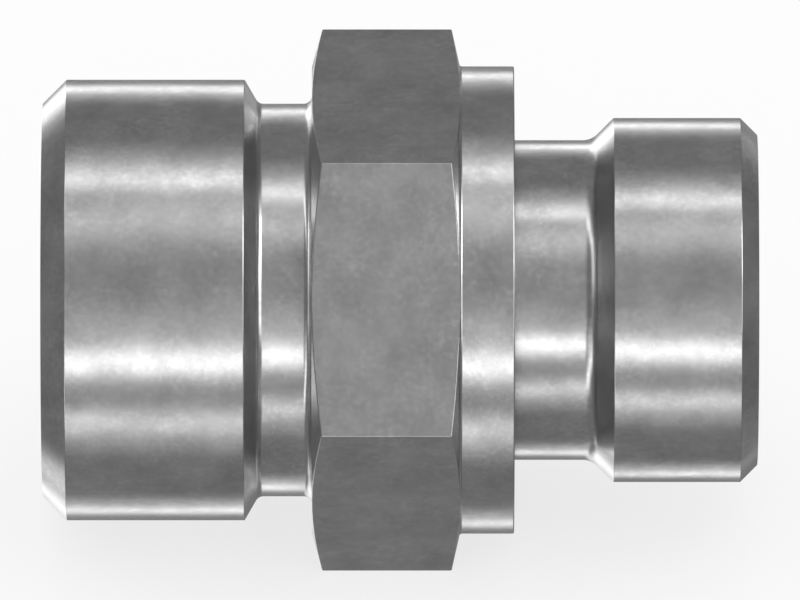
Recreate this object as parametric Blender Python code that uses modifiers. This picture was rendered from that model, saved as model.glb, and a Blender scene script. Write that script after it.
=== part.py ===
"""Straight adapter body in plated steel, turned from hexagon bar.

One end is a face-seal tube end, with a ring groove in its flat end face and a
neck behind its thread. The other end is a parallel-thread stud, with a round
collar that holds a seal ring in its face. A plain bore runs through both.
The threads are drawn as plain cylinders at their outer diameters.

The profile is drawn with its axis along Z, and the finished body is turned so
that the stud points along +X and the body lies on one flat of its hexagon.
The origin is on the axis, halfway along the body.
"""

import math

import bpy
from mathutils import Matrix, Vector

MM = 0.001

# Face-seal tube end: 1 inch thread, 14 to the inch
FACE_END_LENGTH = 15.5 * MM
FACE_THREAD_DIAMETER = 25.36 * MM
FACE_THREAD_LENGTH = 11.62 * MM
FACE_END_CHAMFER = 1.38 * MM
FACE_NECK_DIAMETER = 22.6 * MM
FACE_RUNOUT_ANGLE = math.radians(60.0)
FACE_NECK_FILLET = 0.5 * MM

# Ring groove in the end face
GROOVE_OUTER_DIAMETER = 19.2 * MM
GROOVE_WIDTH = 2.35 * MM
GROOVE_DEPTH = 1.35 * MM
GROOVE_FILLET = 0.3 * MM

# Hexagon, with a chamfer on each side that cuts its corners back
HEX_ACROSS_FLATS = 27.0 * MM
HEX_LENGTH = 8.46 * MM
HEX_FACE_DIAMETER = 26.86 * MM
HEX_BACK_DIAMETER = 27.3 * MM
HEX_FACE_SIDE_CHAMFER = math.radians(15.0)
HEX_STUD_SIDE_CHAMFER = math.radians(12.5)

# Collar, recessed for the stud's seal ring
COLLAR_DIAMETER = 26.9 * MM
COLLAR_WIDTH = 3.16 * MM
COLLAR_FILLET = 0.18 * MM
RECESS_DIAMETER = 24.0 * MM
RECESS_DEPTH = 1.0 * MM
RECESS_FILLET = 0.3 * MM

# Stud: half inch parallel pipe thread
STUD_LENGTH = 14.0 * MM
STUD_THREAD_DIAMETER = 20.955 * MM
STUD_END_CHAMFER = 0.98 * MM
STUD_NECK_DIAMETER = 18.4 * MM
STUD_NECK_LENGTH = 4.45 * MM
STUD_RUNOUT_ANGLE = math.radians(45.0)
STUD_NECK_FILLET = 1.2 * MM

# Bore through the whole body
BORE_DIAMETER = 12.5 * MM
BORE_CHAMFER = 0.5 * MM

# Fineness of the round surfaces
TURN_STEPS = 96
ARC_STEP = math.radians(22.5)
SMOOTH_LIMIT = math.radians(30.0)
WELD = 0.01 * MM

# How far the bar stock reaches past the finished size
BAR_ALLOWANCE = 1.0 * MM

# Stations along the axis, from the face-seal end to the stud's end
LENGTH = FACE_END_LENGTH + HEX_LENGTH + COLLAR_WIDTH + STUD_LENGTH
FACE_Z = -LENGTH / 2.0
HEX_FACE_Z = FACE_Z + FACE_END_LENGTH
HEX_BACK_Z = HEX_FACE_Z + HEX_LENGTH
COLLAR_FACE_Z = HEX_BACK_Z + COLLAR_WIDTH
STUD_Z = COLLAR_FACE_Z + STUD_LENGTH

HEX_CORNER_RADIUS = HEX_ACROSS_FLATS / 2.0 / math.cos(math.pi / 6.0)

STEEL_COLOUR = (0.56, 0.56, 0.57, 1.0)
STEEL_ROUGHNESS = 0.32


def corner(diameter, station, fillet=0.0):
    """A corner of the profile: its point in the XZ plane, and the radius that rounds it."""
    return Vector((diameter / 2.0, station)), fillet


def stud_corners():
    """From the stud's end face along its thread and neck to the collar's seal recess."""
    thread_start_z = COLLAR_FACE_Z + STUD_NECK_LENGTH + (
        (STUD_THREAD_DIAMETER - STUD_NECK_DIAMETER) / 2.0 / math.tan(STUD_RUNOUT_ANGLE)
    )
    return [
        corner(STUD_THREAD_DIAMETER - 2.0 * STUD_END_CHAMFER, STUD_Z),
        corner(STUD_THREAD_DIAMETER, STUD_Z - STUD_END_CHAMFER),
        corner(STUD_THREAD_DIAMETER, thread_start_z),
        corner(STUD_NECK_DIAMETER, COLLAR_FACE_Z + STUD_NECK_LENGTH, STUD_NECK_FILLET),
        corner(STUD_NECK_DIAMETER, COLLAR_FACE_Z - RECESS_DEPTH, RECESS_FILLET),
    ]


def collar_corners():
    """Round the collar's rim, from the recess wall to the fillet at the hexagon's back."""
    return [
        corner(RECESS_DIAMETER, COLLAR_FACE_Z - RECESS_DEPTH),
        corner(RECESS_DIAMETER, COLLAR_FACE_Z),
        corner(COLLAR_DIAMETER, COLLAR_FACE_Z),
        corner(COLLAR_DIAMETER, HEX_BACK_Z, COLLAR_FILLET),
    ]


def hexagon_corners():
    """The two chamfer cones, which reach past the hexagon's corners before its flats are cut."""
    blank_radius = HEX_CORNER_RADIUS + BAR_ALLOWANCE
    stud_side_rise = (blank_radius - HEX_BACK_DIAMETER / 2.0) * math.tan(HEX_STUD_SIDE_CHAMFER)
    face_side_rise = (blank_radius - HEX_FACE_DIAMETER / 2.0) * math.tan(HEX_FACE_SIDE_CHAMFER)
    return [
        corner(HEX_BACK_DIAMETER, HEX_BACK_Z),
        corner(2.0 * blank_radius, HEX_BACK_Z - stud_side_rise),
        corner(2.0 * blank_radius, HEX_FACE_Z + face_side_rise),
        corner(HEX_FACE_DIAMETER, HEX_FACE_Z),
    ]


def face_end_corners():
    """From the hexagon's face along the neck and thread to the end face."""
    runout_depth = (FACE_THREAD_DIAMETER - FACE_NECK_DIAMETER) / 2.0
    neck_start_z = FACE_Z + FACE_THREAD_LENGTH + runout_depth / math.tan(FACE_RUNOUT_ANGLE)
    return [
        corner(FACE_NECK_DIAMETER, HEX_FACE_Z, FACE_NECK_FILLET),
        corner(FACE_NECK_DIAMETER, neck_start_z, FACE_NECK_FILLET),
        corner(FACE_THREAD_DIAMETER, FACE_Z + FACE_THREAD_LENGTH),
        corner(FACE_THREAD_DIAMETER, FACE_Z + FACE_END_CHAMFER),
        corner(FACE_THREAD_DIAMETER - 2.0 * FACE_END_CHAMFER, FACE_Z),
    ]


def ring_groove_corners():
    """The groove in the end face, from its outer wall to its inner one."""
    groove_inner_diameter = GROOVE_OUTER_DIAMETER - 2.0 * GROOVE_WIDTH
    floor_z = FACE_Z + GROOVE_DEPTH
    return [
        corner(GROOVE_OUTER_DIAMETER, FACE_Z),
        corner(GROOVE_OUTER_DIAMETER, floor_z, GROOVE_FILLET),
        corner(groove_inner_diameter, floor_z, GROOVE_FILLET),
        corner(groove_inner_diameter, FACE_Z),
    ]


def bore_corners():
    """Back through the bore, with a small chamfer at each mouth."""
    mouth_diameter = BORE_DIAMETER + 2.0 * BORE_CHAMFER
    return [
        corner(mouth_diameter, FACE_Z),
        corner(BORE_DIAMETER, FACE_Z + BORE_CHAMFER),
        corner(BORE_DIAMETER, STUD_Z - BORE_CHAMFER),
        corner(mouth_diameter, STUD_Z),
    ]


def rounded(before, point, after, radius):
    """The arc of this radius that replaces the corner at point, tangent to both its lines."""
    towards_before = (before - point).normalized()
    towards_after = (after - point).normalized()
    half_angle = towards_before.angle(towards_after) / 2.0
    middle = (towards_before + towards_after).normalized()
    centre = point + middle * (radius / math.sin(half_angle))
    arm = point + towards_before * (radius / math.tan(half_angle)) - centre
    end_arm = point + towards_after * (radius / math.tan(half_angle)) - centre
    sweep = -arm.angle_signed(end_arm)
    steps = max(2, math.ceil(abs(sweep) / ARC_STEP))
    return [centre + Matrix.Rotation(sweep * step / steps, 2) @ arm for step in range(steps + 1)]


def profile_points(corners):
    """The closed profile as points, with each filleted corner replaced by its arc."""
    points = []
    for index, (point, fillet) in enumerate(corners):
        if fillet == 0.0:
            points.append(point)
            continue
        before = corners[index - 1][0]
        after = corners[(index + 1) % len(corners)][0]
        points.extend(rounded(before, point, after, fillet))
    return points


def clear_scene():
    """Remove whatever the scene holds."""
    for obj in list(bpy.data.objects):
        bpy.data.objects.remove(obj)


def new_collection(name):
    """A collection of this name, linked into the scene."""
    collection = bpy.data.collections.new(name)
    bpy.context.scene.collection.children.link(collection)
    return collection


def plated_steel():
    """Satin grey metal, as zinc plating looks on machined steel."""
    material = bpy.data.materials.new("plated_steel")
    material.use_nodes = True
    shader = material.node_tree.nodes["Principled BSDF"]
    shader.inputs["Base Color"].default_value = STEEL_COLOUR
    shader.inputs["Roughness"].default_value = STEEL_ROUGHNESS
    shader.inputs["Metallic"].default_value = 1.0
    return material


def turned_blank(name, points, collection):
    """The closed profile swept once round the Z axis by a Screw modifier."""
    mesh = bpy.data.meshes.new(name)
    loop = [(index, (index + 1) % len(points)) for index in range(len(points))]
    mesh.from_pydata([(point.x, 0.0, point.y) for point in points], loop, [])
    blank = bpy.data.objects.new(name, mesh)
    collection.objects.link(blank)
    screw = blank.modifiers.new("turn", "SCREW")
    screw.axis = "Z"
    screw.angle = 2.0 * math.pi
    screw.steps = TURN_STEPS
    screw.render_steps = TURN_STEPS
    screw.use_merge_vertices = True
    screw.merge_threshold = WELD
    return blank


def hexagon_bar(collection):
    """The bar stock: a hexagonal prism with two flats facing along X, longer than the body."""
    bpy.ops.mesh.primitive_cylinder_add(
        vertices=6,
        radius=HEX_CORNER_RADIUS,
        depth=LENGTH + 2.0 * BAR_ALLOWANCE,
        end_fill_type="NGON",
    )
    bar = bpy.context.object
    bar.name = "hexagon_bar"
    for owner in list(bar.users_collection):
        owner.objects.unlink(bar)
    collection.objects.link(bar)
    bar.hide_render = True
    bar.display_type = "WIRE"
    return bar


def keep_inside(body, bar):
    """Cut the hexagon's flats: keep only what lies inside the bar."""
    cut = body.modifiers.new("flats", "BOOLEAN")
    cut.operation = "INTERSECT"
    cut.solver = "EXACT"
    cut.object = bar


def apply_modifiers(obj):
    """Make the object's evaluated shape its own mesh."""
    depsgraph = bpy.context.evaluated_depsgraph_get()
    shaped = bpy.data.meshes.new_from_object(obj.evaluated_get(depsgraph))
    obj.modifiers.clear()
    obj.data = shaped
    shaped.name = obj.name


def build_adapter():
    """Turn the body from the bar, dress it in plated steel and lay it on a flat."""
    parts = new_collection("straight_adapter")
    cutters = new_collection("cutters")
    corners = stud_corners() + collar_corners() + hexagon_corners()
    corners += face_end_corners() + ring_groove_corners() + bore_corners()
    body = turned_blank("adapter_body", profile_points(corners), parts)
    keep_inside(body, hexagon_bar(cutters))
    apply_modifiers(body)
    body.data.shade_smooth()
    body.data.set_sharp_from_angle(angle=SMOOTH_LIMIT)
    body.data.materials.clear()
    body.data.materials.append(plated_steel())
    body.rotation_euler = (0.0, math.pi / 2.0, 0.0)
    return body


clear_scene()
build_adapter()
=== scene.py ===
"""Looks of the straight adapter body: its plated steel, a pale floor, soft studio light and the camera.

Lengths are in metres. X runs along the body's axis towards the stud, and Z is up.
"""

import logging
import math
from dataclasses import dataclass
from enum import Enum

import bpy
import numpy as np
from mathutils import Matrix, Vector


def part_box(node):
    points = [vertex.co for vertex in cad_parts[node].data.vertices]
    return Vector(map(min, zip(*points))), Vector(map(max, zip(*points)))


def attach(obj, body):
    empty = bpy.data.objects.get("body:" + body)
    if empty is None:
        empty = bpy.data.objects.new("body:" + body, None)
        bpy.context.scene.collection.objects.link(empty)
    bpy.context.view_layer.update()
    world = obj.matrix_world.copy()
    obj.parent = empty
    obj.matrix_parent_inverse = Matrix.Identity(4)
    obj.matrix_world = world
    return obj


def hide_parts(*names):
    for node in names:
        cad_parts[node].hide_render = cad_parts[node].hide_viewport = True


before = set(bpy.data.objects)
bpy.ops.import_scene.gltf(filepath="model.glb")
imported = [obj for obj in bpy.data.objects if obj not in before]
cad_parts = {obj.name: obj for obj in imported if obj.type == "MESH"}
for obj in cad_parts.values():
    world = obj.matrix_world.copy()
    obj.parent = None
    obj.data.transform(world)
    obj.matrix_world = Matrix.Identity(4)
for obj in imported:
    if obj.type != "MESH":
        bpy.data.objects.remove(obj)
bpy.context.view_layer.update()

log = logging.getLogger("straight_adapter")

MM = 0.001
CAD_NODE = "adapter_body"
ROOT_BODY = "root"
STEEL_SLOT = "plated_steel"

SIXTH_TURN = math.pi / 3.0
TWELFTH_TURN = math.pi / 6.0

# Step in radians for the slope of the profile as it is carried round
SMALL_TURN = 1e-5

# The most of a neighbouring stretch of the profile that a rounding takes up
ROUNDING_SHARE = 0.45

# Where nearly all of a noise texture's values lie
NOISE_RANGE = (0.3, 0.7)


class Rounding(Enum):
    """How a corner of the turned profile is finished, with the radius of its arc and the pieces in it."""

    BROKEN_EDGE = (0.08 * MM, 4)
    TOOL_NOSE = (0.3 * MM, 5)
    FACE_NECK = (0.5 * MM, 8)
    STUD_NECK = (1.2 * MM, 10)

    @property
    def radius(self) -> float:
        """Radius of the arc in metres."""
        return self.value[0]

    @property
    def pieces(self) -> int:
        """Straight pieces that make the arc."""
        return self.value[1]


@dataclass(frozen=True)
class Corner:
    """A corner of the lathe profile, which may lie elsewhere at each angle round the axis.

    Attributes:
        x: Place along the axis, one value or one for each angle.
        radius: Distance from the axis, one value or one for each angle.
        rounding: How the corner is finished.
        arc: Points and directions that take the corner's place, where no plain rounding fits.
    """

    x: float | np.ndarray
    radius: float | np.ndarray
    rounding: Rounding = Rounding.BROKEN_EDGE
    arc: tuple[np.ndarray, np.ndarray] | None = None

    def at_angles(self, count: int) -> np.ndarray:
        """The corner at every angle.

        Args:
            count: How many angles there are.

        Returns:
            An array of (count, 2): place along the axis and distance from it.
        """
        x = np.broadcast_to(self.x, (count,))
        radius = np.broadcast_to(self.radius, (count,))
        return np.stack([x, radius], axis=1)


@dataclass(frozen=True)
class Stud:
    """The parallel-thread stud, drawn plain at its thread's outer diameter."""

    thread_diameter: float = 20.955 * MM
    end_chamfer: float = 0.98 * MM
    neck_diameter: float = 18.4 * MM
    neck_length: float = 4.45 * MM
    runout_angle: float = math.radians(45.0)

    def corners(self, collar_face_x: float, recess_x: float, end_x: float) -> list[Corner]:
        """The stud's profile, from its end face to the floor of the seal recess.

        Args:
            collar_face_x: Where the collar's face is.
            recess_x: Where the floor of the seal recess is.
            end_x: Where the stud ends.

        Returns:
            Its corners, outer side first.
        """
        thread_radius = self.thread_diameter / 2.0
        neck_radius = self.neck_diameter / 2.0
        neck_end_x = collar_face_x + self.neck_length
        thread_start_x = neck_end_x + (thread_radius - neck_radius) / math.tan(self.runout_angle)
        return [
            Corner(end_x, thread_radius - self.end_chamfer),
            Corner(end_x - self.end_chamfer, thread_radius),
            Corner(thread_start_x, thread_radius),
            Corner(neck_end_x, neck_radius, Rounding.STUD_NECK),
            Corner(recess_x, neck_radius, Rounding.TOOL_NOSE),
        ]


@dataclass(frozen=True)
class Collar:
    """The round collar, with the recess for the stud's seal ring, and its fillet at the hexagon."""

    diameter: float = 26.9 * MM
    width: float = 3.16 * MM
    recess_diameter: float = 24.0 * MM
    recess_depth: float = 1.0 * MM
    fillet: float = 0.18 * MM
    fillet_pieces: int = 8

    def corners(self, face_x: float) -> list[Corner]:
        """The collar's profile, from the recess wall to its rim.

        Args:
            face_x: Where the collar's face is.

        Returns:
            Its corners, outer side first.
        """
        recess_x = face_x - self.recess_depth
        return [
            Corner(recess_x, self.recess_diameter / 2.0, Rounding.TOOL_NOSE),
            Corner(face_x, self.recess_diameter / 2.0),
            Corner(face_x, self.diameter / 2.0),
        ]

    def fillet_turn(self, radius: np.ndarray) -> np.ndarray:
        """How far the fillet has turned away from the collar where it reaches a radius.

        Args:
            radius: Distances from the axis.

        Returns:
            Angles in radians, a right angle where the fillet has ended.
        """
        centre_radius = self.diameter / 2.0 + self.fillet
        return np.arccos(np.clip((centre_radius - radius) / self.fillet, 0.0, 1.0))

    def fillet_corner(self, back_x: float, top: np.ndarray) -> Corner:
        """The fillet between the collar and the hexagon's back, cut short where a flat meets it.

        Args:
            back_x: Where the hexagon's back is.
            top: The radius at which the fillet ends, one for each angle.

        Returns:
            The corner, with the fillet as its arc.
        """
        done = np.linspace(0.0, 1.0, self.fillet_pieces + 1)[:, None]
        turn = done * self.fillet_turn(top)
        centre = np.array([back_x + self.fillet, self.diameter / 2.0 + self.fillet])
        points = centre - self.fillet * np.stack([np.sin(turn), np.cos(turn)], axis=-1)
        headings = np.stack([-np.cos(turn), np.sin(turn)], axis=-1)
        return Corner(back_x + self.fillet, self.diameter / 2.0, arc=(points, headings))


@dataclass(frozen=True)
class Hexagon:
    """The spanner hexagon, with the two chamfer cones that cut its corners back.

    Attributes:
        across_flats: Distance between two opposite flats.
        length: Length along the axis.
        face_diameter: Diameter of the flat ring inside the cone on the tube side.
        back_diameter: Diameter at which the cone on the stud side starts.
        least_chamfer: The least that the outline stands out past the start of that cone.
        face_side_chamfer: Angle of the cone on the tube side, from square to the axis.
        stud_side_chamfer: Angle of the cone on the stud side, from square to the axis.
        corner_radius: Radius that breaks the six long edges.
        corner_steps: Pieces round each of those edges.
        flat_steps: Pieces across each flat.
    """

    across_flats: float
    length: float = 8.46 * MM
    face_diameter: float = 26.86 * MM
    back_diameter: float = 27.3 * MM
    least_chamfer: float = 0.01 * MM
    face_side_chamfer: float = math.radians(15.0)
    stud_side_chamfer: float = math.radians(12.5)
    corner_radius: float = 0.06 * MM
    corner_steps: int = 6
    flat_steps: int = 48

    def angles(self) -> np.ndarray:
        """The angles round the axis at which every ring has a point, close together at the six corners.

        Returns:
            Angles in radians from +Y towards +Z, where +Y is a corner.
        """
        tangent = self.corner_half_angle()
        corner = np.linspace(-tangent, tangent, self.corner_steps + 1)
        flat = np.linspace(tangent, SIXTH_TURN - tangent, self.flat_steps + 1)[1:-1]
        sector = np.concatenate([corner, flat])
        starts = np.arange(6) * SIXTH_TURN
        return (starts[:, None] + sector[None, :]).ravel()

    def corner_centre(self) -> float:
        """Distance from the axis to the centre of a corner's small arc."""
        return (self.across_flats / 2.0 - self.corner_radius) / math.cos(TWELFTH_TURN)

    def corner_half_angle(self) -> float:
        """Angle round the axis from a corner to where its arc meets the flat."""
        side = self.corner_radius * math.sin(TWELFTH_TURN)
        out = self.corner_centre() + self.corner_radius * math.cos(TWELFTH_TURN)
        return math.atan2(side, out)

    def outline(self, angles: np.ndarray) -> np.ndarray:
        """The hexagon's distance from the axis: half across flats over the cosine of the angle from
        the flat's middle, and at a corner the far side of the small circle that rounds it.

        Args:
            angles: Angles round the axis.

        Returns:
            One radius for each angle.
        """
        from_corner = np.abs((angles + TWELFTH_TURN) % SIXTH_TURN - TWELFTH_TURN)
        flat = self.across_flats / 2.0 / np.cos(TWELFTH_TURN - from_corner)
        centre = self.corner_centre()
        inside = np.maximum(self.corner_radius**2 - (centre * np.sin(from_corner)) ** 2, 0.0)
        arc = centre * np.cos(from_corner) + np.sqrt(inside)
        return np.where(from_corner < self.corner_half_angle(), arc, flat)

    def corners(self, angles: np.ndarray, face_x: float, collar: Collar) -> list[Corner]:
        """The hexagon's profile at every angle. The flat runs from one chamfer cone to the other, so
        each cone's edge dips towards the middle of the flat, and there the flat cuts the collar's
        fillet short.

        Args:
            angles: Angles round the axis.
            face_x: Where the hexagon's face on the tube side is.
            collar: The collar whose fillet meets the hexagon's back.

        Returns:
            Its corners, stud side first.
        """
        outline = self.outline(angles)
        back_x = face_x + self.length
        back_radius = np.minimum(self.back_diameter / 2.0, outline - self.least_chamfer)
        fillet_end = back_radius - self.least_chamfer / 2.0
        cone_x = back_x + collar.fillet * (1.0 - np.sin(collar.fillet_turn(back_radius)))
        cone = np.array([-math.sin(self.stud_side_chamfer), math.cos(self.stud_side_chamfer)])
        cone_start = np.stack([cone_x, back_radius], axis=-1)[None]
        cone_arc = (cone_start, np.broadcast_to(cone, cone_start.shape))
        flat_end_x = cone_x - (outline - back_radius) * math.tan(self.stud_side_chamfer)
        face_radius = self.face_diameter / 2.0
        face_side_dip = (outline - face_radius) * math.tan(self.face_side_chamfer)
        return [
            collar.fillet_corner(back_x, fillet_end),
            Corner(cone_x, back_radius, arc=cone_arc),
            Corner(flat_end_x, outline),
            Corner(face_x + face_side_dip, outline),
            Corner(face_x, face_radius),
        ]


@dataclass(frozen=True)
class FaceEnd:
    """The face-seal tube end, drawn plain at its thread's outer diameter, with its ring groove."""

    length: float = 15.5 * MM
    thread_diameter: float = 25.36 * MM
    thread_length: float = 11.62 * MM
    end_chamfer: float = 1.38 * MM
    neck_diameter: float = 22.6 * MM
    runout_angle: float = math.radians(60.0)
    groove_diameter: float = 19.2 * MM
    groove_width: float = 2.35 * MM
    groove_depth: float = 1.35 * MM

    def corners(self, end_x: float) -> list[Corner]:
        """The tube end's profile, from the hexagon along the outside and into the ring groove.

        Args:
            end_x: Where the end face is.

        Returns:
            Its corners, hexagon side first.
        """
        thread_radius = self.thread_diameter / 2.0
        neck_radius = self.neck_diameter / 2.0
        thread_end_x = end_x + self.thread_length
        neck_x = thread_end_x + (thread_radius - neck_radius) / math.tan(self.runout_angle)
        groove_outer = self.groove_diameter / 2.0
        groove_inner = groove_outer - self.groove_width
        groove_x = end_x + self.groove_depth
        return [
            Corner(end_x + self.length, neck_radius, Rounding.FACE_NECK),
            Corner(neck_x, neck_radius, Rounding.FACE_NECK),
            Corner(thread_end_x, thread_radius),
            Corner(end_x + self.end_chamfer, thread_radius),
            Corner(end_x, thread_radius - self.end_chamfer),
            Corner(end_x, groove_outer),
            Corner(groove_x, groove_outer, Rounding.TOOL_NOSE),
            Corner(groove_x, groove_inner, Rounding.TOOL_NOSE),
            Corner(end_x, groove_inner),
        ]


@dataclass(frozen=True)
class Bore:
    """The plain bore through the whole body, with a small chamfer at each mouth."""

    diameter: float = 12.5 * MM
    mouth_chamfer: float = 0.5 * MM

    def corners(self, start_x: float, end_x: float) -> list[Corner]:
        """The bore's profile, from the tube end's mouth to the stud's.

        Args:
            start_x: Where the tube end's face is.
            end_x: Where the stud ends.

        Returns:
            Its corners.
        """
        radius = self.diameter / 2.0
        return [
            Corner(start_x, radius + self.mouth_chamfer),
            Corner(start_x + self.mouth_chamfer, radius),
            Corner(end_x - self.mouth_chamfer, radius),
            Corner(end_x, radius + self.mouth_chamfer),
        ]


def rounded(
    before: np.ndarray, corner: np.ndarray, after: np.ndarray, rounding: Rounding
) -> tuple[np.ndarray, np.ndarray]:
    """The arc that replaces a corner at every angle. Its centre lies on the corner's bisector, and its
    arm turns evenly from one tangent point to the other, as sines of what is left and what is done
    mix the first arm and the last. It uses under half of either neighbour.

    Args:
        before: The corner before this one, (angles, 2).
        corner: This corner, (angles, 2).
        after: The corner after this one, (angles, 2).
        rounding: The arc's radius and pieces.

    Returns:
        The arc's points and its direction at each, both (pieces + 1, angles, 2).
    """
    to_before = before - corner
    to_after = after - corner
    before_length = np.linalg.norm(to_before, axis=1)
    after_length = np.linalg.norm(to_after, axis=1)
    to_before /= before_length[:, None]
    to_after /= after_length[:, None]
    half = np.arccos(np.clip(np.sum(to_before * to_after, axis=1), -1.0, 1.0)) / 2.0
    room = ROUNDING_SHARE * np.minimum(before_length, after_length)
    reach = np.minimum(rounding.radius / np.tan(half), room)
    radius = reach * np.tan(half)
    bisector = to_before + to_after
    bisector /= np.linalg.norm(bisector, axis=1)[:, None]
    centre = corner + bisector * (radius / np.sin(half))[:, None]
    first_arm = corner + to_before * reach[:, None] - centre
    last_arm = corner + to_after * reach[:, None] - centre
    sweep = math.pi - 2.0 * half
    done = np.linspace(0.0, 1.0, rounding.pieces + 1)[:, None] * sweep
    left = sweep - done
    arm = np.sin(left)[..., None] * first_arm + np.sin(done)[..., None] * last_arm
    arm /= np.sin(sweep)[:, None]
    heading = np.cos(done)[..., None] * last_arm - np.cos(left)[..., None] * first_arm
    heading /= np.linalg.norm(heading, axis=-1)[..., None]
    return centre + arm, heading


def closed_grid(name: str, points: np.ndarray, normals: np.ndarray) -> bpy.types.Mesh:
    """A mesh of four-sided faces over a grid of points that closes in both directions, as a ring does.

    Args:
        name: The mesh's name.
        points: The grid, (rows, columns, 3).
        normals: The surface's true direction at each point, (rows, columns, 3).

    Returns:
        The mesh, shaded smooth.
    """
    rows, columns = points.shape[:2]
    index = np.arange(rows * columns).reshape(rows, columns)
    next_row = np.roll(index, -1, axis=0)
    next_column = np.roll(index, -1, axis=1)
    diagonal = np.roll(next_row, -1, axis=1)
    faces = np.stack([index, next_row, diagonal, next_column], axis=-1).reshape(-1, 4)
    mesh = bpy.data.meshes.new(name)
    mesh.from_pydata(points.reshape(-1, 3).tolist(), [], faces.tolist())
    mesh.shade_smooth()
    mesh.normals_split_custom_set_from_vertices(normals.reshape(-1, 3).tolist())
    mesh.update()
    return mesh


class Ease(Enum):
    """How a remapped value goes from one end of its range to the other."""

    STRAIGHT = "LINEAR"
    SOFT = "SMOOTHSTEP"


class NodeGraph:
    """Adds nodes to a node tree, each with its settings and inputs in one call."""

    def __init__(self, tree: bpy.types.NodeTree) -> None:
        """Start from an empty tree."""
        self.tree = tree
        self.tree.nodes.clear()

    def add(self, kind: str, inputs: dict | None = None, **settings: object) -> bpy.types.Node:
        """Add one node.

        Args:
            kind: Blender's name of the node's type.
            inputs: Input name or number to a value, or to the output socket that feeds it.
            settings: The node's own properties.

        Returns:
            The node.
        """
        node = self.tree.nodes.new(kind)
        for name, value in settings.items():
            setattr(node, name, value)
        for key, value in (inputs or {}).items():
            if isinstance(value, bpy.types.NodeSocket):
                self.tree.links.new(value, node.inputs[key])
            else:
                node.inputs[key].default_value = value
        return node

    def math(self, operation: str, *values: object) -> bpy.types.NodeSocket:
        """The result of a Math node.

        Args:
            operation: What it works out.
            values: Numbers or sockets, in order.

        Returns:
            Its output socket.
        """
        return self.add("ShaderNodeMath", dict(enumerate(values)), operation=operation).outputs[0]

    def remap(
        self,
        value: bpy.types.NodeSocket,
        before: tuple[float, float],
        after: tuple[float, float],
        ease: Ease = Ease.STRAIGHT,
    ) -> bpy.types.NodeSocket:
        """One range of values carried to another.

        Args:
            value: The socket to carry over.
            before: The range that it comes in.
            after: The range that it leaves in.
            ease: How it goes from end to end.

        Returns:
            The output socket.
        """
        inputs = {
            "Value": value,
            "From Min": before[0],
            "From Max": before[1],
            "To Min": after[0],
            "To Max": after[1],
        }
        return self.add("ShaderNodeMapRange", inputs, interpolation_type=ease.value).outputs["Result"]

    def angle_from(self, direction: bpy.types.NodeSocket, turn: float) -> bpy.types.NodeSocket:
        """How far a direction is from one that lies square to the X axis.

        Args:
            direction: The direction, one unit long.
            turn: Radians that the other one points up from -Y.

        Returns:
            The angle in radians.
        """
        facing = {0: direction, 1: (0.0, -math.cos(turn), math.sin(turn))}
        cosine = self.add("ShaderNodeVectorMath", facing, operation="DOT_PRODUCT").outputs["Value"]
        return self.math("ARCCOSINE", self.math("MINIMUM", cosine, 1.0))


@dataclass(frozen=True)
class Mottle:
    """Uneven plating of one size.

    Attributes:
        size: Width of a lump in metres.
        detail: How many finer layers of noise it has.
        depth: The most that it lightens or darkens the metal, as a share of its grey.
        patchiness: How far its busy patches differ from its calm ones.
        layer_strength: How strong each finer layer is beside the one before.
    """

    size: float
    detail: float
    depth: float = 0.0
    patchiness: float = 0.0
    layer_strength: float = 0.62

    def lumps(self, graph: NodeGraph, place: bpy.types.NodeSocket) -> bpy.types.NodeSocket:
        """Fractal noise whose lumps have this size.

        Args:
            graph: Where the node goes.
            place: Object coordinates.

        Returns:
            The noise's value.
        """
        inputs = {
            "Vector": place,
            "Scale": 1.0 / self.size,
            "Detail": self.detail,
            "Roughness": self.layer_strength,
        }
        return graph.add("ShaderNodeTexNoise", inputs).outputs["Fac"]

    def puffs(
        self,
        graph: NodeGraph,
        lumps: bpy.types.NodeSocket,
        patches: bpy.types.NodeSocket,
        bend: float,
    ) -> bpy.types.NodeSocket:
        """Light puffs on a darker ground: the noise between nought and one, bent towards nought by a
        power, carried to between minus and plus its depth, times how busy this patch is.

        Args:
            graph: Where the nodes go.
            lumps: This mottle's noise.
            patches: The noise that says where it is busy.
            bend: The power.

        Returns:
            What to add to one.
        """
        bent = graph.math("POWER", graph.remap(lumps, NOISE_RANGE, (0.0, 1.0)), bend)
        busy = graph.remap(patches, NOISE_RANGE, (1.0 - self.patchiness, 1.0 + self.patchiness))
        return graph.math("MULTIPLY", graph.remap(bent, (0.0, 1.0), (-self.depth, self.depth)), busy)


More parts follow.
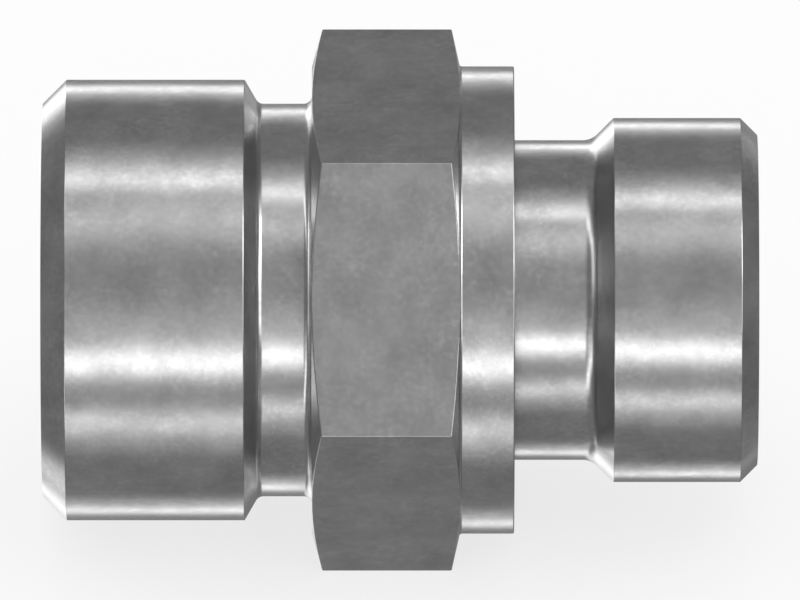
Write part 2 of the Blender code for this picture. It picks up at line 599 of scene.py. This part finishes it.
@dataclass(frozen=True)
class PlatedSteel:
    """Satin grey zinc plating on machined steel: wide blots, and clouds and specks that are busy in
    some patches and calm in others, over faint swells and a grain that only just shows.

    Attributes:
        colour: How much light the plating sends back.
        roughness: The shader's roughness.
        roughness_spread: How far the clouds change it.
        blots: The widest changes of the grey.
        clouds: The middle ones.
        specks: The finest ones, which also make the grain.
        patches: Where clouds and specks are busy.
        swells: Low hills that make the reflections waver.
        puff_bend: How far clouds and specks are light puffs on a darker ground.
        swell_height: Height of the swells in metres.
        grain_height: Height of the grain in metres.
    """

    colour: float = 0.612
    roughness: float = 0.22
    roughness_spread: float = 0.015
    blots: Mottle = Mottle(size=3.1 * MM, detail=2.0, depth=0.115)
    clouds: Mottle = Mottle(size=1.3 * MM, detail=3.0, depth=0.056, patchiness=0.65)
    specks: Mottle = Mottle(size=0.32 * MM, detail=2.0, depth=0.056, patchiness=0.35)
    patches: Mottle = Mottle(size=2.3 * MM, detail=1.0)
    swells: Mottle = Mottle(size=2.4 * MM, detail=0.0)
    puff_bend: float = 1.7
    swell_height: float = 0.008 * MM
    grain_height: float = 0.0003 * MM

    def shade(
        self,
        graph: NodeGraph,
        place: bpy.types.NodeSocket,
        clouds: bpy.types.NodeSocket,
        specks: bpy.types.NodeSocket,
    ) -> bpy.types.NodeSocket:
        """The grey at each place: one, changed by the clouds and the specks, times the blots.

        Args:
            graph: Where the nodes go.
            place: Object coordinates.
            clouds: The clouds' noise.
            specks: The specks' noise.

        Returns:
            How much light the metal sends back.
        """
        depth = self.blots.depth
        blotted = graph.remap(self.blots.lumps(graph, place), NOISE_RANGE, (1.0 - depth, 1.0 + depth))
        patches = self.patches.lumps(graph, place)
        clouded = self.clouds.puffs(graph, clouds, patches, self.puff_bend)
        specked = self.specks.puffs(graph, specks, patches, self.puff_bend)
        uneven = graph.math("ADD", graph.math("ADD", clouded, specked), 1.0)
        return graph.math("MULTIPLY", graph.math("MULTIPLY", blotted, uneven), self.colour)

    def relief(
        self, graph: NodeGraph, place: bpy.types.NodeSocket, specks: bpy.types.NodeSocket
    ) -> bpy.types.NodeSocket:
        """The grain over the swells.

        Args:
            graph: Where the nodes go.
            place: Object coordinates.
            specks: The specks' noise.

        Returns:
            The direction that the surface seems to face.
        """
        swell_inputs = {
            "Height": self.swells.lumps(graph, place),
            "Distance": self.swell_height,
            "Strength": 1.0,
        }
        swelled = graph.add("ShaderNodeBump", swell_inputs).outputs["Normal"]
        grain_inputs = {
            "Height": specks,
            "Distance": self.grain_height,
            "Strength": 1.0,
            "Normal": swelled,
        }
        return graph.add("ShaderNodeBump", grain_inputs).outputs["Normal"]

    def material(self) -> bpy.types.Material:
        """Build the shader.

        Returns:
            The material.
        """
        material = bpy.data.materials.new(STEEL_SLOT)
        material.use_nodes = True
        graph = NodeGraph(material.node_tree)
        place = graph.add("ShaderNodeTexCoord").outputs["Object"]
        clouds = self.clouds.lumps(graph, place)
        specks = self.specks.lumps(graph, place)
        shade = self.shade(graph, place, clouds, specks)
        grey = graph.add("ShaderNodeCombineColor", {"Red": shade, "Green": shade, "Blue": shade})
        dullest = self.roughness + self.roughness_spread
        brightest = self.roughness - self.roughness_spread
        inputs = {
            "Base Color": grey.outputs["Color"],
            "Roughness": graph.remap(clouds, NOISE_RANGE, (dullest, brightest)),
            "Metallic": 1.0,
            "Normal": self.relief(graph, place, specks),
        }
        shader = graph.add("ShaderNodeBsdfPrincipled", inputs)
        graph.add("ShaderNodeOutputMaterial", {"Surface": shader.outputs["BSDF"]})
        return material


@dataclass(frozen=True)
class AdapterBody:
    """The whole body, one turned and milled piece, with every edge broken and every fillet round."""

    face_end: FaceEnd
    hexagon: Hexagon
    collar: Collar
    stud: Stud
    bore: Bore
    start_x: float
    end_x: float

    def corners(self, angles: np.ndarray) -> list[Corner]:
        """Every corner of the closed profile, from the stud's end face round the outside and back
        through the bore.

        Args:
            angles: Angles round the axis.

        Returns:
            The corners in order.
        """
        hex_face_x = self.start_x + self.face_end.length
        collar_face_x = hex_face_x + self.hexagon.length + self.collar.width
        recess_x = collar_face_x - self.collar.recess_depth
        return [
            *self.stud.corners(collar_face_x, recess_x, self.end_x),
            *self.collar.corners(collar_face_x),
            *self.hexagon.corners(angles, hex_face_x, self.collar),
            *self.face_end.corners(self.start_x),
            *self.bore.corners(self.start_x, self.end_x),
        ]

    def profile(self, angles: np.ndarray) -> tuple[np.ndarray, np.ndarray]:
        """The profile with its corners rounded.

        Args:
            angles: Angles round the axis.

        Returns:
            Its points and its direction at each, both (points, angles, 2).
        """
        corners = self.corners(angles)
        places = [corner.at_angles(len(angles)) for corner in corners]
        arcs = []
        for i, corner in enumerate(corners):
            after = places[(i + 1) % len(places)]
            arcs.append(corner.arc or rounded(places[i - 1], places[i], after, corner.rounding))
        points, headings = zip(*arcs)
        return np.concatenate(points), np.concatenate(headings)

    def surface(self) -> tuple[np.ndarray, np.ndarray]:
        """The surface: at each angle the profile is carried round the axis, its radius times cosine
        and sine giving Y and Z. Its normal is the cross product of the profile's direction and of the
        way that the surface goes as the angle grows.

        Returns:
            Points and unit normals, both (profile, angles, 3).
        """
        angles = self.hexagon.angles()
        profile, heading = self.profile(angles)
        ahead = self.profile(angles + SMALL_TURN)[0]
        behind = self.profile(angles - SMALL_TURN)[0]
        turning = (ahead - behind) / (2.0 * SMALL_TURN)
        x, radius = profile[..., 0], profile[..., 1]
        along_x = radius * heading[..., 1]
        outwards = -radius * heading[..., 0]
        around = heading[..., 0] * turning[..., 1] - heading[..., 1] * turning[..., 0]
        cosine, sine = np.cos(angles), np.sin(angles)
        points = np.stack([x, radius * cosine, radius * sine], axis=-1)
        normals = np.stack(
            [along_x, outwards * cosine - around * sine, outwards * sine + around * cosine], axis=-1
        )
        return points, normals / np.linalg.norm(normals, axis=-1)[..., None]

    def build(self, finish: PlatedSteel) -> bpy.types.Object:
        """Make the piece, and let it stand for the CAD body.

        Args:
            finish: What its surface is.

        Returns:
            The piece.
        """
        mesh = closed_grid("adapter_surface", *self.surface())
        piece = bpy.data.objects.new("adapter_surface", mesh)
        bpy.context.scene.collection.objects.link(piece)
        mesh.materials.append(finish.material())
        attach(piece, ROOT_BODY)
        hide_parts(CAD_NODE)
        return piece


@dataclass(frozen=True)
class Reach:
    """How far along the X axis a light reaches, as the sine of the angle to either side.

    Attributes:
        left: Where it ends towards the tube end.
        right: Where it ends towards the stud.
        fade: How much further its edge takes to go dark.
    """

    left: float = -0.2
    right: float = 0.3
    fade: float = 0.15

    def window(self, graph: NodeGraph, along: bpy.types.NodeSocket) -> bpy.types.NodeSocket:
        """One inside the reach and nought outside.

        Args:
            graph: Where the nodes go.
            along: The sine of the angle from the camera's plane.

        Returns:
            The window's value.
        """
        middle = (self.left + self.right) / 2.0
        half = (self.right - self.left) / 2.0
        off = graph.math("ABSOLUTE", graph.math("SUBTRACT", along, middle))
        return graph.remap(off, (half, half + self.fade), (1.0, 0.0), Ease.SOFT)


@dataclass(frozen=True)
class SoftBox:
    """A soft light beside the object, parallel to the X axis, as the metal mirrors it.

    Attributes:
        angle: Where it stands round the X axis, in degrees above the camera's line of sight.
        brightness: What it adds at its middle, where 1 is white, or takes away where it is below
            nought, as a dark panel does.
        core: Degrees from its middle line over which it is even.
        falloff: Degrees that its edge takes to go dark.
        reach: How far it goes along the X axis.
    """

    angle: float
    brightness: float
    core: float
    falloff: float
    reach: Reach = Reach()

    def light(
        self, graph: NodeGraph, across: bpy.types.NodeSocket, elevation: float
    ) -> bpy.types.NodeSocket:
        """What it adds in each direction.

        Args:
            graph: Where the nodes go.
            across: The direction looked in, flattened square to the X axis.
            elevation: The camera's elevation in degrees.

        Returns:
            The light, before its reach.
        """
        away = graph.angle_from(across, math.radians(elevation + self.angle))
        edge = (math.radians(self.core), math.radians(self.core + self.falloff))
        return graph.remap(away, edge, (self.brightness, 0.0), Ease.SOFT)


@dataclass(frozen=True)
class RingLight:
    """A ring of light round the camera's line of sight, as the metal mirrors it.

    Attributes:
        angle: Degrees from the line of sight to the ring.
        brightness: What it adds at its middle, where 1 is white.
        falloff: Degrees from its middle line to its dark edge.
        reach: Which part of the ring is lit.
    """

    angle: float
    brightness: float
    falloff: float
    reach: Reach = Reach(-1.0, 1.0)

    def light(
        self, graph: NodeGraph, view: bpy.types.NodeSocket, elevation: float
    ) -> bpy.types.NodeSocket:
        """What it adds in each direction.

        Args:
            graph: Where the nodes go.
            view: The direction looked in.
            elevation: The camera's elevation in degrees.

        Returns:
            The light, before its reach.
        """
        away = graph.angle_from(view, math.radians(elevation))
        off = graph.math("ABSOLUTE", graph.math("SUBTRACT", away, math.radians(self.angle)))
        edge = (0.0, math.radians(self.falloff))
        return graph.remap(off, edge, (self.brightness, 0.0), Ease.SOFT)


# The dim wall in front, and the lights that the cylinders' near sides mirror. The angle, brightness,
# core and falloff of all five come from least-squares fits to the photo's tones, rounded, and the
# wall's were then changed a little
FRONT_LIGHTS: tuple[SoftBox, ...] = (
    SoftBox(angle=0.0, brightness=0.124, core=84.5, falloff=6.0, reach=Reach(-0.2, 0.3)),
    SoftBox(angle=-33.0, brightness=1.96, core=0.0, falloff=11.1, reach=Reach(-0.12, 0.06, 0.15)),
    SoftBox(angle=-22.5, brightness=0.3, core=0.0, falloff=31.6),
    SoftBox(angle=43.2, brightness=0.465, core=0.0, falloff=20.2),
    SoftBox(angle=64.7, brightness=0.66, core=0.0, falloff=6.0),
)

# Lights above and below, that the cylinders' upper and lower edges mirror. Those at 145.8, 134.4, 167,
# -144.9 and -133.4 degrees come from the same fits, and were then changed a little
EDGE_LIGHTS: tuple[SoftBox, ...] = (
    SoftBox(angle=145.8, brightness=1.86, core=0.0, falloff=9.8, reach=Reach(-0.25, 0.05, 0.12)),
    SoftBox(angle=134.4, brightness=0.33, core=1.0, falloff=6.5),
    SoftBox(angle=105.0, brightness=0.02, core=0.0, falloff=12.0),
    SoftBox(angle=80.0, brightness=0.11, core=0.0, falloff=8.0),
    SoftBox(angle=167.0, brightness=0.09, core=0.0, falloff=6.0),
    SoftBox(angle=-144.9, brightness=1.47, core=0.7, falloff=9.0, reach=Reach(-0.1, 0.05, 0.12)),
    SoftBox(angle=-133.4, brightness=0.42, core=0.0, falloff=8.0),
    SoftBox(angle=-106.0, brightness=0.018, core=0.0, falloff=12.0),
    SoftBox(angle=-81.5, brightness=0.1, core=0.0, falloff=7.5),
)

# Lights beyond the stud, that the chamfers and fillets facing it mirror
STUD_SIDE_LIGHTS: tuple[SoftBox, ...] = (
    SoftBox(angle=15.0, brightness=1.4, core=32.0, falloff=10.0, reach=Reach(0.34, 0.72, 0.1)),
    SoftBox(angle=33.0, brightness=2.0, core=14.0, falloff=8.0, reach=Reach(0.3, 0.8, 0.1)),
    SoftBox(angle=53.0, brightness=1.0, core=6.0, falloff=8.0, reach=Reach(0.44, 0.66, 0.07)),
    SoftBox(angle=46.0, brightness=0.5, core=4.0, falloff=8.0, reach=Reach(0.18, 0.4, 0.08)),
    SoftBox(angle=-58.0, brightness=0.14, core=10.0, falloff=8.0, reach=Reach(0.33, 0.48, 0.08)),
)

# A dark panel and a light beyond the tube end
TUBE_SIDE_LIGHTS: tuple[SoftBox, ...] = (
    SoftBox(angle=-65.0, brightness=-0.15, core=5.0, falloff=8.0, reach=Reach(-0.56, -0.46, 0.06)),
    SoftBox(angle=-38.0, brightness=0.7, core=6.0, falloff=14.0, reach=Reach(-0.74, -0.4, 0.1)),
)

# Lights behind the tube end, that the edges of the slopes facing it mirror
REAR_TUBE_SIDE_LIGHTS: tuple[SoftBox, ...] = (
    SoftBox(angle=160.0, brightness=1.4, core=14.0, falloff=8.0, reach=Reach(-0.39, -0.29, 0.11)),
    SoftBox(angle=160.0, brightness=0.33, core=16.0, falloff=8.0, reach=Reach(-0.51, -0.26, 0.1)),
    SoftBox(angle=-164.0, brightness=0.7, core=10.0, falloff=8.0, reach=Reach(-0.33, -0.27, 0.08)),
    SoftBox(angle=-148.0, brightness=0.8, core=10.0, falloff=8.0, reach=Reach(-0.59, -0.5, 0.1)),
    SoftBox(angle=-165.0, brightness=0.8, core=10.0, falloff=8.0, reach=Reach(-0.37, -0.12, 0.1)),
)

# Lights behind the stud, that the edges of the slopes facing it mirror
REAR_STUD_SIDE_LIGHTS: tuple[SoftBox, ...] = (
    SoftBox(angle=155.0, brightness=0.19, core=6.0, falloff=14.0, reach=Reach(0.42, 0.5, 0.17)),
    SoftBox(angle=-157.0, brightness=0.12, core=6.0, falloff=12.0, reach=Reach(0.37, 0.41, 0.09)),
    SoftBox(angle=-142.0, brightness=0.05, core=14.0, falloff=12.0, reach=Reach(0.5, 0.72, 0.12)),
    SoftBox(angle=176.0, brightness=0.35, core=2.0, falloff=6.0, reach=Reach(0.19, 0.26, 0.07)),
)

# Dark panels above and below the stud's end
SIDE_PANELS: tuple[SoftBox, ...] = (
    SoftBox(angle=98.0, brightness=-0.085, core=18.0, falloff=10.0, reach=Reach(0.38, 0.52, 0.08)),
    SoftBox(angle=-98.0, brightness=-0.085, core=20.0, falloff=10.0, reach=Reach(0.34, 0.5, 0.08)),
    SoftBox(angle=115.0, brightness=-0.02, core=16.0, falloff=12.0, reach=Reach(0.75, 1.0, 0.1)),
    SoftBox(angle=-113.0, brightness=-0.03, core=16.0, falloff=12.0, reach=Reach(0.75, 1.0, 0.1)),
)

# Rings beyond the tube end, that its 45 degree chamfer and the hexagon's cone mirror. The first one
# comes from the same fits, and was then changed a little
RINGS: tuple[RingLight, ...] = (
    RingLight(angle=67.6, brightness=0.92, falloff=12.6, reach=Reach(-0.45, 0.08, 0.12)),
    RingLight(angle=60.5, brightness=1.6, falloff=9.0, reach=Reach(-0.68, -0.3, 0.1)),
)


@dataclass(frozen=True)
class Studio:
    """A white studio: pale floor, soft lamp, lights that the metal mirrors, and a long-lens camera.

    Attributes:
        elevation: Degrees from level up to the camera.
        distance: Metres from the body to the camera.
        camera_range: Metres that the camera sees.
        pixels_per_metre: Scale of the picture at the body's axis.
        image_width: Pixels across the picture.
        floor_colour: How much light the floor sends back.
        floor_glow: Share of plain white in the floor that the camera sees.
        floor_side: Length of the floor's sides in metres.
        lamp_height: Height of the lamp in metres.
        lamp_forward: How far the lamp hangs towards the camera, in metres.
        lamp_size: Length of the lamp's sides in metres.
        lamp_power: The lamp's watts.
        ambient: What the metal mirrors where there is no light.
        boxes: The soft lights and dark panels beside the object.
        rings: The rings of light.
    """

    elevation: float = 30.0
    distance: float = 1.5
    camera_range: float = 100.0
    pixels_per_metre: float = 17370.0
    image_width: float = 800.0
    floor_colour: float = 0.9
    floor_glow: float = 0.75
    floor_side: float = 6.0
    lamp_height: float = 0.6
    lamp_forward: float = 0.2
    lamp_size: float = 0.5
    lamp_power: float = 0.25
    ambient: float = 0.215
    boxes: tuple[SoftBox, ...] = (
        *FRONT_LIGHTS,
        *EDGE_LIGHTS,
        *STUD_SIDE_LIGHTS,
        *TUBE_SIDE_LIGHTS,
        *REAR_TUBE_SIDE_LIGHTS,
        *REAR_STUD_SIDE_LIGHTS,
        *SIDE_PANELS,
    )
    rings: tuple[RingLight, ...] = RINGS

    def build_world(self) -> None:
        """Make it white all round, except that metal and glass see the studio's dim walls and its
        lights: the ambient level, plus each light's brightness times the window of its reach."""
        world = bpy.data.worlds.new("studio")
        bpy.context.scene.world = world
        world.use_nodes = True
        world.cycles.sampling_method = "NONE"
        graph = NodeGraph(world.node_tree)
        view = graph.add("ShaderNodeTexCoord").outputs["Generated"]
        along = graph.add("ShaderNodeSeparateXYZ", {0: view}).outputs["X"]
        flattened = graph.add("ShaderNodeVectorMath", {0: view, 1: (0.0, 1.0, 1.0)}, operation="MULTIPLY")
        flattened = flattened.outputs["Vector"]
        across = graph.add("ShaderNodeVectorMath", {0: flattened}, operation="NORMALIZE").outputs["Vector"]
        lights = [(box.reach, box.light(graph, across, self.elevation)) for box in self.boxes]
        lights += [(ring.reach, ring.light(graph, view, self.elevation)) for ring in self.rings]
        mirrored = self.ambient
        for reach, light in lights:
            lit = graph.math("MULTIPLY", light, reach.window(graph, along))
            mirrored = graph.math("ADD", mirrored, lit)
        path = graph.add("ShaderNodeLightPath").outputs
        by_metal = graph.math("MAXIMUM", path["Is Glossy Ray"], path["Is Transmission Ray"])
        level = graph.add("ShaderNodeMix", {"Factor": by_metal, "A": 1.0, "B": mirrored}, data_type="FLOAT")
        white = {"Color": (1.0, 1.0, 1.0, 1.0), "Strength": level.outputs["Result"]}
        background = graph.add("ShaderNodeBackground", white)
        graph.add("ShaderNodeOutputWorld", {"Surface": background.outputs["Background"]})

    def build_floor(self, height: float) -> bpy.types.Object:
        """Lay the pale floor, which keeps its shadow while the camera sees it almost white.

        Args:
            height: Where its surface is.

        Returns:
            The floor.
        """
        reach = self.floor_side / 2.0
        x, y = np.meshgrid([-reach, reach], [-reach, reach])
        points = np.stack([x.ravel(), y.ravel(), np.full(4, height)], axis=1)
        mesh = bpy.data.meshes.new("floor")
        mesh.from_pydata(points.tolist(), [], [(0, 1, 3, 2)])
        floor = bpy.data.objects.new("floor", mesh)
        bpy.context.scene.collection.objects.link(floor)
        floor.visible_glossy = False
        material = bpy.data.materials.new("pale_floor")
        material.use_nodes = True
        graph = NodeGraph(material.node_tree)
        pale = (self.floor_colour, self.floor_colour, self.floor_colour, 1.0)
        matt = graph.add("ShaderNodeBsdfDiffuse", {"Color": pale}).outputs["BSDF"]
        white = graph.add("ShaderNodeEmission", {"Strength": 1.0}).outputs["Emission"]
        by_camera = graph.add("ShaderNodeLightPath").outputs["Is Camera Ray"]
        glow = graph.math("MULTIPLY", by_camera, self.floor_glow)
        mixed = graph.add("ShaderNodeMixShader", {0: glow, 1: matt, 2: white}).outputs["Shader"]
        graph.add("ShaderNodeOutputMaterial", {"Surface": mixed})
        mesh.materials.append(material)
        return floor

    def build_lamp(self) -> bpy.types.Object:
        """Hang a large soft lamp above, which only the floor needs, for a shadow that has a side.

        Returns:
            The lamp.
        """
        data = bpy.data.lights.new("soft_lamp", "AREA")
        data.shape = "SQUARE"
        data.size = self.lamp_size
        data.energy = self.lamp_power
        lamp = bpy.data.objects.new("soft_lamp", data)
        lamp.location = (0.0, -self.lamp_forward, self.lamp_height)
        lamp.rotation_euler = (-lamp.location).to_track_quat("-Z", "Y").to_euler()
        lamp.visible_glossy = False
        bpy.context.scene.collection.objects.link(lamp)
        return lamp

    def build_camera(self, target: Vector) -> bpy.types.Object:
        """Set the camera square to the body's axis, a long way off.

        Args:
            target: What it looks at.

        Returns:
            The camera.
        """
        data = bpy.data.cameras.new("camera")
        data.lens = data.sensor_width * self.pixels_per_metre * self.distance / self.image_width
        data.clip_end = self.camera_range
        camera = bpy.data.objects.new("camera", data)
        tilt = math.radians(self.elevation)
        camera.location = target + Vector((0.0, -math.cos(tilt), math.sin(tilt))) * self.distance
        camera.rotation_euler = (math.pi / 2.0 - tilt, 0.0, 0.0)
        bpy.context.scene.collection.objects.link(camera)
        bpy.context.scene.camera = camera
        return camera


def main() -> None:
    """Build the body, then the studio round it."""
    logging.basicConfig(level=logging.INFO, format="%(name)s: %(message)s")
    low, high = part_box(CAD_NODE)
    body = AdapterBody(
        face_end=FaceEnd(),
        hexagon=Hexagon(across_flats=high.z - low.z),
        collar=Collar(),
        stud=Stud(),
        bore=Bore(),
        start_x=low.x,
        end_x=high.x,
    )
    piece = body.build(PlatedSteel())
    log.info("%s: %d faces", piece.name, len(piece.data.polygons))
    studio = Studio()
    studio.build_world()
    floor = studio.build_floor(low.z)
    lamp = studio.build_lamp()
    camera = studio.build_camera((low + high) / 2.0)
    bpy.context.scene.view_settings.view_transform = "Standard"
    log.info("studio: %s, %s, %s", floor.name, lamp.name, camera.name)


if __name__ == "__main__":
    main()
